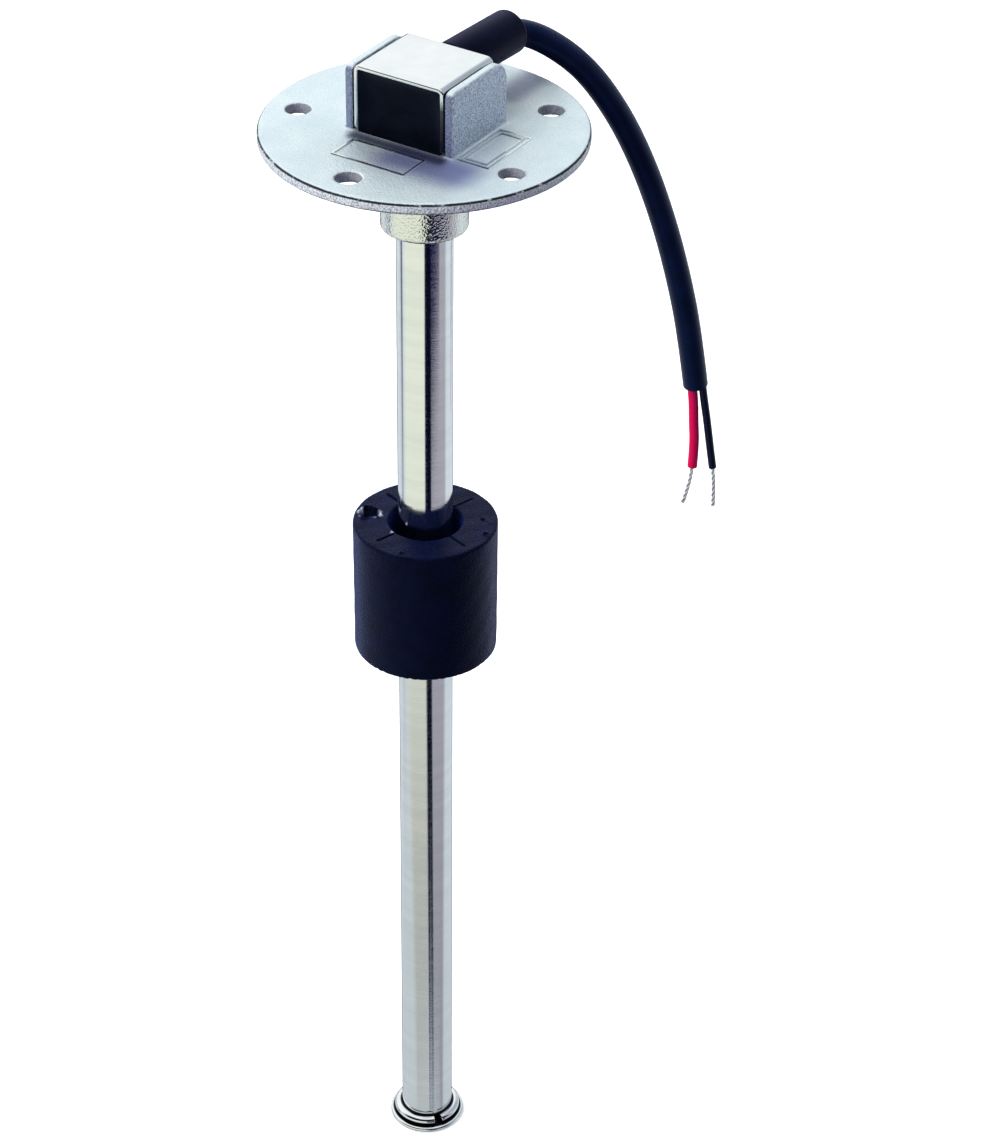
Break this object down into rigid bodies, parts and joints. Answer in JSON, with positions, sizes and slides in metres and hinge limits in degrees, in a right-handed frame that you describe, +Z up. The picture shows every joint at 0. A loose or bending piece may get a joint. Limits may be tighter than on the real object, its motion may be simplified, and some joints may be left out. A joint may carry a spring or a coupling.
{
  "type": "tank level sender",
  "caption": "Stainless tank level sender: round screw flange with a potted cable head, straight stem tube and a sliding magnetic foam float above a retaining ring.",
  "frame": {"origin": "centre of the flange's underside, which seats on the tank", "axes": "+Z up along the stem, through the head; the cable leaves the head along +Y"},
  "size_m": [0.068, 0.1116, 0.2814],
  "materials": {
    "cast_stainless": "fine blasted casting, satin",
    "polished_stainless": "polished",
    "drawn_stainless": "drawn, polished round its girth",
    "potting_resin": "cast resin, smooth",
    "boot_rubber": "moulded, matt",
    "cable_jacket": "extruded, smooth",
    "red_insulation": "extruded, smooth",
    "black_insulation": "extruded, smooth",
    "tinned_copper": "tinned",
    "float_foam": "moulded closed-cell foam, matt skin",
    "ferrite": "sintered, matt",
    "circuit_board": "solder mask",
    "sleeve_film": "thin shrink film",
    "reed_glass": "clear",
    "chip_ceramic": "smooth"
  },
  "bodies": {
    "stem_assembly": {"flange_casting": "cast_stainless", "head_cover": "polished_stainless", "head_potting": "potting_resin", "cable_boot": "boot_rubber", "cable": "cable_jacket", "red_core": "red_insulation", "black_core": "black_insulation", "red_strands": "tinned_copper", "black_strands": "tinned_copper", "stem_tube": "drawn_stainless", "end_plug": "polished_stainless", "retaining_ring": "polished_stainless", "sensor_board": "circuit_board", "board_sleeve": "sleeve_film", "reed_switches": "reed_glass", "reed_leads": "tinned_copper", "chain_resistors": "chip_ceramic", "red_lead": "red_insulation", "black_lead": "black_insulation"},
    "float_assembly": {"float": "float_foam", "float_magnet": "ferrite"}
  },
  "joints": [
    {"name": "float_slide", "type": "slide", "parent": "stem_assembly", "child": "float_assembly", "axis": [0, 0, 1], "range_m": [-0.1363, 0.0726]}
  ]
}
